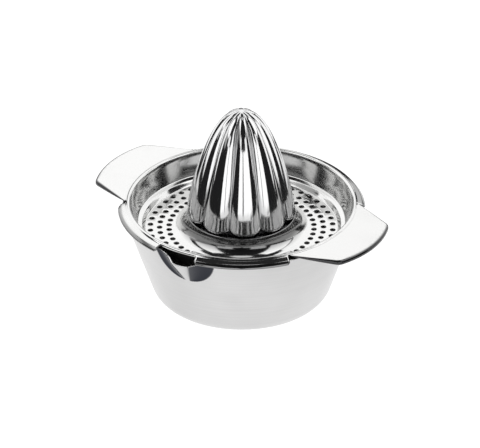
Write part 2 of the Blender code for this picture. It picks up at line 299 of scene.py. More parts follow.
# %% [markdown]
# The columns of the bowl's grid crowd towards the spout, at -Y, so that the crease gets small
# faces and the plain wall doesn't. The rim is bevelled, since a sheet's edge is never sharp.

# %% Bowl made
BOWL_COLUMNS = 420
COLUMN_CROWDING = 0.72


def bowl_points():
    """Grid of the bowl's outer surface from the rim to the base's middle, and its flank mask.

    The turn is the column's even step less a sine of it, so it changes slowest at the spout.
    """
    profile = bowl_profile()
    steps = np.linspace(-pi, pi, BOWL_COLUMNS + 1)
    turn = steps - COLUMN_CROWDING * np.sin(steps)
    r = profile[:, 0:1] + 0 * turn
    z = profile[:, 1:2] + 0 * turn
    out, sink, flank = spout_press(np.abs(turn) * BOWL_RIM_R + 0 * r, BOWL_HEIGHT - z)
    pressed = z > BOWL_HEIGHT - SPOUT_DEPTH
    r = np.where(pressed, bowl_wall_r(z - sink) + out, r)
    z = np.where(pressed, z - sink, z)
    return np.stack([r * np.sin(turn), -r * np.cos(turn), z], axis=-1), flank * pressed


bowl_grid, painted_flank_reflection = bowl_points()
bowl_mesh = sheet_mesh("bowl_shell", [bowl_grid], [painted_flank_reflection])
look_outward(bowl_mesh, (0, 0, 0), (0, 0, -1))
bowl = piece("bowl_shell", bowl_mesh, "bowl", "bowl", BOWL_SHEET)
rim = bowl.modifiers.new("rim", "BEVEL")
rim.width = 0.25 * MM
rim.segments = 2
rim.limit_method = "ANGLE"
rim.angle_limit = radians(65.0)
print("bowl quads:", len(bowl_mesh.polygons))

# %% [markdown]
# ## Strainer tray
# The tray is one stamping. From the middle out: a neck that carries the cone, a flared foot, the
# perforated plate, a sloping band, a narrow ledge, the tray wall, a raised bead, and then either
# the flange that hides the bowl's rim or one of the two wing handles. All its grids share the
# same columns, eight for each drain hole, so that their edges weld point to point.

# %% Tray sizes
TRAY_SHEET = 0.7 * MM
BEAD_Z = BOWL_HEIGHT + 2.8 * MM
BEAD_R = 1.3 * MM
BEAD_MID_R = BOWL_RIM_R - 3.5 * MM
BEAD_OUTER_R = BEAD_MID_R + BEAD_R
BEAD_END = radians(35.0)
PLATE_Z = BEAD_Z - 16.8 * MM
PLATE_EDGE_R = 54.82 * MM
NECK_Z = PLATE_Z + 9.9 * MM
NECK_R = 31.3 * MM
NECK_HOLE_R = 28.6 * MM
NECK_FLARE = 8.6 * MM
NECK_LIP_R = 0.65 * MM
HOLES_PER_RING = 48
HOLE_RING_PITCH = 5.4 * MM
COLUMNS_PER_HOLE = 8
COLUMNS = COLUMNS_PER_HOLE * HOLES_PER_RING
TURN_STEP = 2 * pi / COLUMNS
hole_rings = [PLATE_EDGE_R - 2.4 * MM - i * HOLE_RING_PITCH for i in range(3)]
ring_edges = [PLATE_EDGE_R] + [ring_r - HOLE_RING_PITCH / 2 for ring_r in hole_rings]
print("radii of the hole rings, mm:", [round(r / MM, 2) for r in hole_rings])


# %% Tray profiles
def bead_arc(start, end, count):
    """Points on the bead's round top, a circle of BEAD_R, between two angles above level."""
    turns = np.linspace(start, end, count)
    r, z = BEAD_MID_R + BEAD_R * np.cos(turns), BEAD_Z - BEAD_R + BEAD_R * np.sin(turns)
    return np.stack([r, z], 1)


def flare_z(r):
    """Height of the neck's foot at radius r, a quarter ellipse that ends flat on the plate."""
    share = np.clip((NECK_R + NECK_FLARE - r) / NECK_FLARE, 0.0, 1.0)
    top = NECK_Z - NECK_LIP_R
    return top - (top - PLATE_Z) * np.sqrt(1.0 - share**2)


def neck_profile():
    """From the neck's hole out over its rounded lip and down the flare, to the first hole cells."""
    corners = [(NECK_HOLE_R, NECK_Z), (NECK_R, NECK_Z), (NECK_R, NECK_Z - 1.2 * MM)]
    lip = rounded_path(corners, [NECK_LIP_R], 0.2 * MM)[:-1]
    r = NECK_R + NECK_FLARE * (1.0 - np.cos(np.linspace(0.04, 1.0, 16) * pi / 2))
    r = np.append(r[r < ring_edges[-1] - 0.3 * MM], ring_edges[-1])
    return np.concatenate([lip, np.stack([r, flare_z(r)], 1)])


def wall_profile():
    """From the plate's edge up the band, over the ledge and up the wall to the bead's crown."""
    corners = [
        (PLATE_EDGE_R, PLATE_Z),
        (PLATE_EDGE_R + 0.5 * MM, PLATE_Z),
        (57.02 * MM, PLATE_Z + 2.87 * MM),
        (59.62 * MM, PLATE_Z + 3.3 * MM),
        (BEAD_MID_R - BEAD_R - 0.05 * MM, BEAD_Z - BEAD_R - 0.4 * MM),
    ]
    path = rounded_path(corners, [0.45 * MM, 0.5 * MM, 0.7 * MM], 0.2 * MM)
    return np.concatenate([fill_path(path, 2.4 * MM)[:-1], bead_arc(pi, BEAD_END, 13)])


print("profile points, neck and wall:", len(neck_profile()), len(wall_profile()))

# %% [markdown]
# The plate is punched with three staggered rings of round holes. Boolean cuts would do it, but
# 144 of them are slow and spoil the shading. Instead each hole sits in its own cell of the polar
# grid, and the cell's border is drawn in, point by point, onto the hole's circle.

# %% Perforated plate
HOLE_R = 1.6 * MM
HOLE_ROUNDING = np.array([(1.12, 0.0), (1.02, 0.03 * MM), (1.0, 0.12 * MM)])


def hole_cell(inner_r, outer_r, hole_ring_r, middle):
    """Rings of points from a cell's border to the rim of its hole, which is rounded over.

    The border has eight parts a side. Its point number k goes to the hole's circle at angle
    k / 32 of a turn, so the cell's corners lie on the circle's diagonals. HOLE_ROUNDING gives
    each circle's size, as a share of the hole's radius, and how far it sinks.
    """
    side = np.linspace(-1.0, 1.0, COLUMNS_PER_HOLE + 1)[:-1]
    flat_side = np.ones(COLUMNS_PER_HOLE)
    along = np.concatenate([side, flat_side, -side, -flat_side, side[:1]])
    radial = np.concatenate([flat_side, -side, -flat_side, side, flat_side[:1]])
    turn = middle + along * COLUMNS_PER_HOLE / 2 * TURN_STEP
    r = inner_r + (outer_r - inner_r) * (radial + 1.0) / 2.0
    border = np.stack([r * np.cos(turn), r * np.sin(turn)], 1)
    around = 3 * pi / 4 - np.linspace(0.0, 2 * pi, len(turn))[:, None]
    outward = np.array((cos(middle), sin(middle)))
    sideways = np.array((-sin(middle), cos(middle)))
    circle = HOLE_R * (np.cos(around) * sideways + np.sin(around) * outward)
    circles = outward * hole_ring_r + circle * HOLE_ROUNDING[:, 0, None, None]
    flat = np.concatenate([border[None], circles])
    sink = np.append(0.0, HOLE_ROUNDING[:, 1])[:, None]
    z = flare_z(np.hypot(flat[..., 0], flat[..., 1])) - sink
    return np.concatenate([flat, z[..., None]], -1)


cells = [
    hole_cell(ring_edges[i + 1], ring_edges[i], ring_r, (k + (i % 2) / 2) * 2 * pi / HOLES_PER_RING)
    for i, ring_r in enumerate(hole_rings)
    for k in range(HOLES_PER_RING)
]
print("drain holes:", len(cells))

# %% [markdown]
# A wing handle grows out of the bead: its sides flare, its far edge is a shallow arc, and all its
# free edges are turned down so that no cut edge meets the fingers. Its outline could be filled
# with one big face, but a flat plate shades better as a grid that follows its own edges.

# %% Wing outline
WING_Z = BEAD_Z - 0.4 * MM
WING_REACH = 22.0 * MM
WING_CORNER_HALF = 24.6 * MM
WING_EDGE_BULGE = 5.4 * MM
WING_CORNER_ROUND = 1.6 * MM
WING_ROOT_R = 66.95 * MM
WING_ROOT_COLUMNS = 34
OUTLINE_POINTS = 400
CORNER_POINTS = 58


def wing_half_outline():
    """Plan of half a wing from its root to the middle of its far edge, and the corner's index.

    The side is straight. The far edge is an arc whose radius follows from its half width and its
    bulge: the sum of their squares over twice the bulge. The corner between is a parabola.
    """
    corner_x = BEAD_OUTER_R + WING_REACH - WING_EDGE_BULGE
    radius = (WING_CORNER_HALF**2 + WING_EDGE_BULGE**2) / (2 * WING_EDGE_BULGE)
    centre_x = corner_x + WING_EDGE_BULGE - radius
    root_turn = WING_ROOT_COLUMNS * TURN_STEP
    root = WING_ROOT_R * np.array((cos(root_turn), sin(root_turn)))
    turns = np.linspace(atan2(WING_CORNER_HALF, corner_x - centre_x), 0.0, OUTLINE_POINTS)
    far = np.stack([centre_x + radius * np.cos(turns), radius * np.sin(turns)], 1)
    corner = far[0]
    side = root + (corner - root) * np.linspace(0.0, 1.0, OUTLINE_POINTS)[:, None]
    side = side[np.linalg.norm(side - corner, axis=1) >= WING_CORNER_ROUND]
    far = far[np.linalg.norm(far - corner, axis=1) >= WING_CORNER_ROUND]
    share = np.linspace(0.0, 1.0, CORNER_POINTS + 2)[1:-1, None]
    bend = (1 - share) ** 2 * side[-1] + 2 * share * (1 - share) * corner + share**2 * far[0]
    return np.concatenate([side, bend, far]), len(side) + CORNER_POINTS // 2


def resample(path, shares):
    """Points at the given shares of the path's length."""
    length = path_length(path)
    at = shares * length[-1]
    return np.stack([np.interp(at, length, path[:, axis]) for axis in (0, 1)], 1)


print("wing's half outline, mm:", round(path_length(wing_half_outline()[0])[-1] / MM, 1))

# %% Wing surface
WING_ROWS = 20
ROW_CROWDING = 1.15
WING_TURN_DOWN = 2.5 * MM
WING_EDGE_R = 1.5 * MM
FOOT_BEND_R = 66.25 * MM


def wing_foot(turns):
    """The strip between the bead and the wing: a parabola that leaves the bead and ends level."""
    share = np.linspace(0.0, 1.0, 6)[:, None]
    start = bead_arc(BEAD_END, 0, 2)[0]
    bend, end = np.array((FOOT_BEND_R, WING_Z)), np.array((WING_ROOT_R, WING_Z))
    return turned((1 - share) ** 2 * start + 2 * share * (1 - share) * bend + share**2 * end, turns)


def wing_plate(root):
    """The wing's flat top, a Coons patch: its inside is blended from its four edges.

    Each point is the blend of root and far edge, plus the blend of the two sides, less the blend
    of the four corners, which the other two have both counted.
    """
    outline, corner = wing_half_outline()
    shares = np.linspace(0.0, 1.0, WING_ROWS + 1) ** ROW_CROWDING
    side = resample(outline[: corner + 1], shares)
    half_far = resample(outline[corner:], np.linspace(0.0, 1.0, WING_ROOT_COLUMNS + 1))
    far = np.concatenate([half_far * (1, -1), half_far[-2::-1]])
    u = np.linspace(0.0, 1.0, len(far))[None, :, None]
    v = shares[:, None, None]
    edges = (1 - v) * root + v * far + (1 - u) * (side * (1, -1))[:, None] + u * side[:, None]
    corners = (1 - v) * ((1 - u) * root[0] + u * root[-1]) + v * ((1 - u) * far[0] + u * far[-1])
    flat = edges - corners
    return np.concatenate([flat, np.full(flat.shape[:2] + (1,), WING_Z)], axis=-1)


def turned_edge(plate):
    """The strip turned down round the plate's free edges: a quarter circle, then straight down.

    It is shallow where it starts at the bead and reaches its full depth along the side.
    """
    rim = np.concatenate([plate[:, 0], plate[-1, 1:-1], plate[::-1, -1]])
    ahead = np.gradient(rim[:, :2], axis=0)
    normal = np.stack([ahead[:, 1], -ahead[:, 0]], 1)
    normal /= np.linalg.norm(normal, axis=1)[:, None]
    place = np.arange(len(rim))
    run = np.minimum(place, place[::-1]) / WING_ROWS
    depth = WING_TURN_DOWN * (0.12 + 0.88 * np.clip(run, 0.0, 1.0) ** 0.8)
    radius = np.minimum(WING_EDGE_R, 0.6 * depth)
    bend = np.linspace(0.0, pi / 2, 8)[:, None]
    flat = rim[:, :2] + normal * (radius * np.sin(bend))[..., None]
    z = WING_Z - radius * (1.0 - np.cos(bend))
    strip = np.concatenate([flat, z[..., None]], -1)
    foot = np.concatenate([flat[-1], (WING_Z - depth)[:, None]], 1)
    return np.concatenate([strip, foot[None]])


root_turns = np.arange(-WING_ROOT_COLUMNS, WING_ROOT_COLUMNS + 1) * TURN_STEP
foot = wing_foot(root_turns)
plate = wing_plate(foot[-1, :, :2])
wing = [foot, plate, turned_edge(plate)]
print("wing grids, rows by columns:", [grid.shape[:2] for grid in wing])

# %% [markdown]
# The flange slopes down from the bead and hangs over the bowl's rim. It is cut away beside the
# wings and over the spout, and there the bead just rolls down. Cutting it from a full ring would
# leave square corners, so each stretch is its own grid, with ends that lean and round off.

# %% Flange
FLANGE_R = BOWL_RIM_R + 1.5 * MM
SKIRT_Z = BEAD_Z - 4.0 * MM
SKIRT_LEAN = 0.95 * MM
FLANGE_END_COLUMNS = 35
CUTOUT_COLUMNS = 11
END_LEAN = 0.010
END_CORNER = 0.018
END_CORNER_SHARE = 0.28
END_FADE_COLUMNS = 4.0


def flange_profile():
    """From the bead down the sloping flange, round its bend and down the leaning skirt."""
    corners = [
        tuple(bead_arc(BEAD_END, 0, 2)[0]),
        (BEAD_OUTER_R + 0.3 * MM, BEAD_Z - 0.98 * MM),
        (FLANGE_R - 0.65 * MM, BEAD_Z - 2.0 * MM),
        (FLANGE_R + SKIRT_LEAN, SKIRT_Z),
    ]
    return fill_path(rounded_path(corners, [0.5 * MM, 1.3 * MM], 0.3 * MM), 1.2 * MM)


def flange_patch(first, last):
    """Flange between two columns, its ends drawn in by an angle that grows down the profile.

    The angle is a lean in proportion to the depth plus a quarter circle near the lower corner.
    It fades away from the ends by a factor of e every END_FADE_COLUMNS columns.
    """
    profile = flange_profile()
    steps = np.arange(first, last + 1)
    length = path_length(profile)
    down = length / length[-1]
    corner = np.clip((down - (1.0 - END_CORNER_SHARE)) / END_CORNER_SHARE, 0.0, 1.0)
    draw = END_LEAN * down + END_CORNER * (1.0 - np.sqrt(1.0 - corner**2))
    pull = np.exp((first - steps) / END_FADE_COLUMNS) - np.exp((steps - last) / END_FADE_COLUMNS)
    return turned(profile, steps * TURN_STEP + draw[:, None] * pull)


quarter = COLUMNS // 4
spans = [
    (FLANGE_END_COLUMNS, 2 * quarter - FLANGE_END_COLUMNS),
    (2 * quarter + FLANGE_END_COLUMNS, 3 * quarter - CUTOUT_COLUMNS),
    (3 * quarter + CUTOUT_COLUMNS, 4 * quarter - FLANGE_END_COLUMNS),
]
flanges = [flange_patch(*span) for span in spans]
cutout_turns = np.arange(spans[1][1], spans[2][0] + 1) * TURN_STEP
bead_foot = np.array([(BEAD_OUTER_R, BEAD_Z - BEAD_R - 0.9 * MM)])
cutout = turned(np.concatenate([bead_arc(BEAD_END, 0.0, 4), bead_foot]), cutout_turns)
print("flange stretches, in columns:", [last - first for first, last in spans])

# %% [markdown]
# Polished steel looks dark where it faces dark things: at the turned edges of the wings, low on
# the flange and on the neck's collar under the cone. One finish can't do both, so every grid
# also carries a mask from 0 to 1, a straight ramp down its rows, that the finish reads later
# to paint that dark reflection into the colour.

# %% Tray made
INSERT_TURN = radians(-4.0)
# Each mask is the start, the end and the most of a ramp down a grid's rows; it paints dark
# reflection.
PLAIN_MASK = (0.0, 0.0, 1.0)
COLLAR_MASK = (3.44, -0.56, 0.72)
TURNED_EDGE_MASK = (0.2, 2.2, 1.0)
SKIRT_MASK = (-1.0, 1.1, 0.75)


def mask_rows(grid, start, end, most):
    """A mask for a grid: a ramp from start to end down its rows, held in 0 to 1, times most."""
    ramp = most * np.clip(np.linspace(start, end, len(grid)), 0.0, 1.0)
    return ramp[:, None] + np.zeros(grid.shape[:2])


all_turns = np.arange(COLUMNS + 1) * TURN_STEP
neck, wall = turned(neck_profile(), all_turns), turned(wall_profile(), all_turns)
both_wings = wing + [grid * (-1, -1, 1) for grid in wing]
patches = [neck, wall] + cells + both_wings + flanges + [cutout]
ramps = [COLLAR_MASK, PLAIN_MASK] + len(cells) * [PLAIN_MASK]
ramps += 2 * [PLAIN_MASK, PLAIN_MASK, TURNED_EDGE_MASK] + len(flanges) * [SKIRT_MASK] + [PLAIN_MASK]
masks = [mask_rows(grid, *ramp) for grid, ramp in zip(patches, ramps)]
tray_mesh = sheet_mesh("strainer_sheet", patches, masks)
look_outward(tray_mesh, (50 * MM, 0, PLATE_Z), (0, 0, 1))
tray_mesh.transform(Matrix.Rotation(INSERT_TURN, 4, "Z"))
tray = piece(
    "strainer_sheet", tray_mesh, "insert", "strainer_tray", TRAY_SHEET
)
print("tray quads:", len(tray_mesh.polygons))

# %% [markdown]
# ## Reamer cone
# Ten ribs run up the cone and fade into its blunt tip. Between them the sheet folds into narrow
# valleys. At the bottom every rib ends in a round scallop just clear of the tray's neck, and a
# plain spigot goes down inside that neck. Ten copies of one rib would need joining at the tip;
# a radius that depends on the height and on the turn gives all of them as one surface.

# %% Cone surface
CONE_BASE_Z = NECK_Z + 0.3 * MM
CONE_R = 31.8 * MM
CONE_HEIGHT = 66.6 * MM
CONE_SHEET = 0.7 * MM
ARCH_POWERS = (1.155, 0.4575)
RIBS = 10
RIB_DEPTH = 3.0 * MM
RIB_DEPTH_AT_TIP = 0.22
RIB_SCALLOP = 4.5 * MM
RIB_CREST_FLATNESS = 2.8
RIB_END_ROUND = 2.6 * MM
SPIGOT_R = 28.3 * MM
SPIGOT_END_Z = CONE_BASE_Z - 5.5 * MM
COLUMNS_PER_RIB = 32
RIB_ROWS = 84
END_ROWS = 12
END_SHARE = 0.03
ROW_POWER = 1.6


def cone_r(share):
    """Radius over the crests: one less a power of the height's share, itself to a power."""
    return CONE_R * (1.0 - share ** ARCH_POWERS[0]) ** ARCH_POWERS[1]


def ribs_surface(off):
    """Radius and height of the ribs, rows from the tip down, for columns off the crests by off.

    off is 0 on a crest and 1 in a valley. A groove of a power of off is taken from the radius,
    and near the tip it is no deeper than a share of the radius. A quarter ellipse lifts the
    valleys' ends, and a quarter circle draws the last RIB_END_ROUND of every rib inward.
    """
    end = 1.0 - END_SHARE
    end_rows = end + END_SHARE * np.sin(np.linspace(0.0, pi / 2, END_ROWS + 1)[1:])
    down = np.concatenate([np.linspace(0.0, end, RIB_ROWS), end_rows])
    share = 1.0 - down[:, None] ** ROW_POWER
    crest_r = cone_r(share)
    groove = np.minimum(RIB_DEPTH, RIB_DEPTH_AT_TIP * crest_r) * off**RIB_CREST_FLATNESS
    lift = RIB_SCALLOP * (1.0 - np.sqrt(np.clip(1.0 - off**2, 0.0, 1.0)))
    r = crest_r - groove
    z = CONE_BASE_Z + CONE_HEIGHT * share + lift * (1.0 - share) ** 4
    end_round = np.minimum(RIB_END_ROUND, 0.9 * (r[-1] - SPIGOT_R))
    near_end = np.clip(1.0 - (z - z[-1]) / end_round, 0.0, 1.0)
    return r - end_round * (1.0 - np.sqrt(1.0 - 0.995 * near_end**2)), z, lift


def cone_points():
    """Grid of the ribs, in under them and down the spigot, and the mask of its folds and ends.

    The mask, painted shade, grows with the square of off in the last fifth of a valley and is 1 at
    the bottom.
    """
    turn = np.linspace(0.0, 2 * pi, RIBS * COLUMNS_PER_RIB + 1)
    off = np.abs((turn * RIBS / (2 * pi) + 0.5) % 1.0 - 0.5) * 2.0
    ribs_r, ribs_z, lift = ribs_surface(off)
    foot_r, foot_z = ribs_r[-1], ribs_z[-1]
    under = np.array([0.15, 0.35, 0.6, 1.0])[:, None]
    below = np.array([0.3, 1.0])[:, None]
    under_r, under_z = foot_r + (SPIGOT_R - foot_r) * under, foot_z + 0 * under
    spigot_r, spigot_z = SPIGOT_R + 0 * foot_r + 0 * below, foot_z + (SPIGOT_END_Z - foot_z) * below
    r, z = np.concatenate([ribs_r, under_r, spigot_r]), np.concatenate([ribs_z, under_z, spigot_z])
    fold = np.clip((off - 0.80) / 0.2, 0.0, 1.0) ** 2
    low = np.clip((CONE_BASE_Z + 1.5 * MM - (z - lift * 0.5)) / (2.0 * MM), 0.0, 1.0)
    dark = np.clip(0.7 * fold + low, 0.0, 1.0) * (z < CONE_BASE_Z + 0.96 * CONE_HEIGHT)
    place = turn - pi / 2
    return np.stack([r * np.cos(place), r * np.sin(place), z], axis=-1), dark


cone_grid, painted_cone_shade = cone_points()
print("cone grid, rows by columns:", cone_grid.shape[:2])

# %% Cone made
RIB_TURN = radians(-2.0)
cone_mesh = sheet_mesh("reamer_shell", [cone_grid], [painted_cone_shade])
look_outward(cone_mesh, (0, 0, CONE_BASE_Z + CONE_HEIGHT), (0, 0, 1))
cone_mesh.transform(Matrix.Rotation(RIB_TURN, 4, "Z"))
cone = piece("reamer_shell", cone_mesh, "insert", "reamer_cone", CONE_SHEET)
print("cone quads:", len(cone_mesh.polygons))

# %% [markdown]
# ## Finishes
# All of it is bare stainless steel: the bowl brushed to satin, the insert polished almost to a
# mirror. Pictures of such surfaces would stretch over the bends. Here both effects are worked
# out from noise in the piece's own coordinates, in node groups, so that every steel part can use
# them with its own strength.


# %% Node helpers
def plug(tree, socket, value):
    """Links a socket to another node's output, or sets it to a plain value."""
    if isinstance(value, bpy.types.NodeSocket):
        tree.links.new(value, socket)
    else:
        socket.default_value = value


def node(tree, kind, inputs=(), **settings):
    """A node of the given kind: settings are its properties, inputs its sockets and values."""
    made = tree.nodes.new(kind)
    for key, value in settings.items():
        setattr(made, key, value)
    for key, value in dict(inputs).items():
        plug(tree, made.inputs[key], value)
    return made


def maths(tree, operation, *values):
    """The result of one operation on numbers or sockets."""
    return node(tree, "ShaderNodeMath", dict(enumerate(values)), operation=operation).outputs[0]


def noise(tree, place, scale, detail, distortion=0.0):
    """Cloudy noise from about 0 to 1, read at place: scale is clouds per metre."""
    inputs = {"Vector": place, "Scale": scale, "Detail": detail, "Distortion": distortion}
    return node(tree, "ShaderNodeTexNoise", inputs).outputs["Fac"]


def effect_group(name, defaults):
    """A group with a colour and some numbers going in, and its two end nodes.

    Out of it come a colour, a roughness and a height.
    """
    made = bpy.data.node_groups.new(name, "ShaderNodeTree")
    for label, value in defaults.items():
        kind = "NodeSocketColor" if isinstance(value, tuple) else "NodeSocketFloat"
        socket = made.interface.new_socket(label, in_out="INPUT", socket_type=kind)
        socket.default_value = value
    for label in ("Colour", "Roughness", "Height"):
        kind = "NodeSocketColor" if label == "Colour" else "NodeSocketFloat"
        made.interface.new_socket(label, in_out="OUTPUT", socket_type=kind)
    return made, made.nodes.new("NodeGroupInput").outputs, made.nodes.new("NodeGroupOutput")


def finish_group(tree, out, colour, factor, roughness, height):
    """Feeds a group's end node: the colour times a factor, the roughness and the height."""
    tint = node(tree, "ShaderNodeVectorMath", {0: colour, "Scale": factor}, operation="SCALE")
    plug(tree, out.inputs["Colour"], tint.outputs["Vector"])
    plug(tree, out.inputs["Roughness"], roughness)
    plug(tree, out.inputs["Height"], height)


print("every effect gives a colour, a roughness and a height")

# %% [markdown]
# The bowl is brushed while it spins, so its lines run round and round. A stretched texture would
# do on a flat sheet; on the bowl, noise is read so that it changes fast up the wall and along
# the radius of the base, and hardly at all round the axis. Slow clouds keep it from being even.


# %% Brushed satin
def satin_group():
    """Lines and clouds that swing colour and roughness round their middle by the contrast.

    The lines are noise at (12 x, 12 y, lines (z + 0.6 r)). The swing is one plus the contrast
    times what lines and clouds together have over their mean.
    """
    tree, given, out = effect_group(
        "brushed_satin",
        {"Steel": (0.6, 0.605, 0.61, 1.0), "Lines": 1600.0, "Roughness": 0.3, "Contrast": 0.12},
    )
    place = node(tree, "ShaderNodeTexCoord").outputs["Object"]
    x, y, z = node(tree, "ShaderNodeSeparateXYZ", {"Vector": place}).outputs
    flat = node(tree, "ShaderNodeCombineXYZ", {"X": x, "Y": y}).outputs[0]
    radius = node(tree, "ShaderNodeVectorMath", {0: flat}, operation="LENGTH").outputs["Value"]
    climb = maths(tree, "MULTIPLY_ADD", radius, 0.6, z)
    where = {
        "X": maths(tree, "MULTIPLY", x, 12.0),
        "Y": maths(tree, "MULTIPLY", y, 12.0),
        "Z": maths(tree, "MULTIPLY", climb, given["Lines"]),
    }
    lines = noise(tree, node(tree, "ShaderNodeCombineXYZ", where).outputs[0], 1.0, 3.0)
    clouds = noise(tree, place, 22.0, 2.0)
    over_mean = maths(tree, "SUBTRACT", maths(tree, "MULTIPLY_ADD", lines, 0.4, clouds), 0.7)
    swing = maths(tree, "MULTIPLY_ADD", over_mean, given["Contrast"], 1.0)
    rough = maths(tree, "MULTIPLY", given["Roughness"], swing)
    finish_group(tree, out, given["Steel"], swing, rough, lines)
    return tree


satin = satin_group()
print("satin group nodes:", len(satin.nodes))

# %% [markdown]
# A polished press that is used and washed gets dull smears and hairline scratches. They could be
# painted on; noise held between two levels gives soft smears, and noise squeezed into thin
# ridges gives scratches, both without a seam.


# %% Polish with wear
def polish_group():
    """Roughness plus smears and scratches, each a straight ramp between two levels of noise.

    Smears also darken the colour. Scratches are noise turned and squeezed 30 to 900.
    """
    tree, given, out = effect_group(
        "worn_polish",
        {"Steel": (0.62, 0.62, 0.625, 1.0), "Roughness": 0.06, "Smears": 0.05, "Scratches": 0.06},
    )

    def ramp(value, low, high, most):
        """From 0 where the value is low to most where it is high, and held outside that."""
        levels = {"Value": value, "From Min": low, "From Max": high, "To Min": 0.0, "To Max": most}
        return node(tree, "ShaderNodeMapRange", levels).outputs[0]

    place = node(tree, "ShaderNodeTexCoord").outputs["Object"]
    smears = ramp(noise(tree, place, 35.0, 4.0, 0.6), 0.45, 0.75, given["Smears"])
    squeeze = {"Vector": place, "Rotation": (0.3, 0.2, 0.9), "Scale": (30, 900, 900)}
    hair = noise(tree, node(tree, "ShaderNodeMapping", squeeze).outputs[0], 1.0, 2.0)
    scratches = ramp(hair, 0.62, 0.72, given["Scratches"])
    rough = maths(tree, "ADD", maths(tree, "ADD", given["Roughness"], smears), scratches)
    fade = maths(tree, "MULTIPLY_ADD", smears, -0.8, 1.0)
    finish_group(tree, out, given["Steel"], fade, rough, hair)
    return tree


polish = polish_group()
print("polish group nodes:", len(polish.nodes))

# %% [markdown]
# Every steel is a metallic shader fed by one of the groups. Where a sheet's mask is 1, the colour
# and roughness go over to a dark painted reflection and shade: the spout's pressed flanks, the
# turned edges of the wings, the flange's lower edge, the collar and the folds between the ribs.
# Separate pieces with a painted dark finish would do that too, but with a hard line between them.


# %% Steel materials
def masked_mix(tree, kind, first, plain, masked):
    """Goes from plain to masked with the sheet's own mask. first is the mix's input for plain."""
    mask = node(tree, "ShaderNodeAttribute", attribute_name="mask").outputs["Fac"]
    inputs = {0: mask, first: plain, first + 1: masked}
    return node(tree, "ShaderNodeMix", inputs, data_type=kind)


def steel(name, effect, bump, bump_height, masked=None, **settings):
    """Metallic shader fed by one of the groups: colour, roughness and a fine bump.

    masked, if given, is a colour and a roughness for where the sheet's own mask is 1; it paints
    dark reflection and shade.
    """
    made = bpy.data.materials.new(name)
    made.use_nodes = True
    tree = made.node_tree
    grain = node(tree, "ShaderNodeGroup", settings, node_tree=effect).outputs
    relief = {"Height": grain["Height"], "Strength": bump, "Distance": bump_height}
    colour, rough = grain["Colour"], grain["Roughness"]
    if masked:
        colour = masked_mix(tree, "RGBA", 6, colour, (*masked[0], 1.0)).outputs[2]
        rough = masked_mix(tree, "FLOAT", 2, rough, masked[1]).outputs[0]
    shader = tree.nodes["Principled BSDF"].inputs
    plug(tree, shader["Metallic"], 1.0)
    plug(tree, shader["Base Color"], colour)
    plug(tree, shader["Roughness"], rough)
    plug(tree, shader["Normal"], node(tree, "ShaderNodeBump", relief).outputs[0])
    return made


# Its dark masked colour is painted reflection on the spout's pressed flanks.
bowl_outside = steel(
    "satin_steel", satin, 0.12, 0.04 * MM, ((0.030, 0.032, 0.040), 0.14),
    Steel=(0.565, 0.563, 0.563, 1.0), Roughness=0.3, Contrast=0.4,
)
bowl_inside = steel(
    "satin_inside", satin, 0.1, 0.04 * MM,
    Steel=(0.55, 0.55, 0.53, 1.0), Roughness=0.5, Lines=700.0,
)
# Its dark masked colour is painted reflection on the collar, the wings' turned edges and the
# flange's skirt.
tray_top = steel(
    "polished_tray", polish, 0.02, 0.01 * MM, ((0.055, 0.055, 0.057), 0.13),
    Steel=(0.61, 0.61, 0.605, 1.0), Roughness=0.1,
)
tray_under = steel(
    "tray_underside", polish, 0.05, 0.02 * MM, Steel=(0.42, 0.42, 0.43, 1.0), Roughness=0.2
)
# Near-black steel on the cut edges and the drain holes' walls: painted shade.
dark_painted_edge = steel(
    "edge_with_painted_shade", polish, 0.05, 0.02 * MM, Steel=(0.13, 0.13, 0.135, 1.0), Roughness=0.3
)
# Its dark masked colour is painted shade in the folds between the ribs and at their lower ends.
cone_top = steel(
    "polished_cone", polish, 0.02, 0.01 * MM, ((0.10, 0.10, 0.105), 0.14),
    Steel=(0.62, 0.62, 0.622, 1.0), Roughness=0.085,
)
rim_edge = steel(
    "rim_edge", polish, 0.02, 0.01 * MM, Steel=(0.62, 0.62, 0.62, 1.0), Roughness=0.12
)
FINISHES = (
    (bowl_mesh, (bowl_outside, bowl_inside, rim_edge)),
    (tray_mesh, (tray_top, tray_under, dark_painted_edge)),
    (cone_mesh, (cone_top, tray_under, tray_under)),
)
for mesh, finishes in FINISHES:
    for finish in finishes:
        mesh.materials.append(finish)
    print(mesh.name, "has", [finish.name for finish in finishes])

# %% [markdown]
# ## Studio
# Polished steel shows the room more than itself. The press stands on a strip of glowing white
# paper in an almost dark room, with cards and lamps round it. The dark gaps between them become
# the black shapes on the ribs, the rim and the flange. A ready-made picture of a room would be
# quicker, but here each reflection can be put where it belongs.

# %% Room and paper
VIEW_TURN = radians(29.5)
VIEW_RISE = radians(30.0)
ROOM_GREY = 0.02
PAPER_DROP = 0.3 * MM


def studio_world():
    """A nearly dark room in reflections, and plain white where the lens sees past the paper."""
    world = bpy.data.worlds.new("studio")
    bpy.context.scene.world = world
    world.use_nodes = True
    tree = world.node_tree
    tree.nodes.clear()
    grey = (ROOM_GREY, ROOM_GREY, ROOM_GREY * 1.04, 1)
    room = node(tree, "ShaderNodeBackground", {"Color": grey}).outputs[0]
    page = node(tree, "ShaderNodeBackground", {"Color": (1, 1, 1, 1)}).outputs[0]
    seen = node(tree, "ShaderNodeLightPath").outputs["Is Camera Ray"]
    mix = node(tree, "ShaderNodeMixShader", {0: seen, 1: room, 2: page}).outputs[0]
    node(tree, "ShaderNodeOutputWorld", {"Surface": mix})


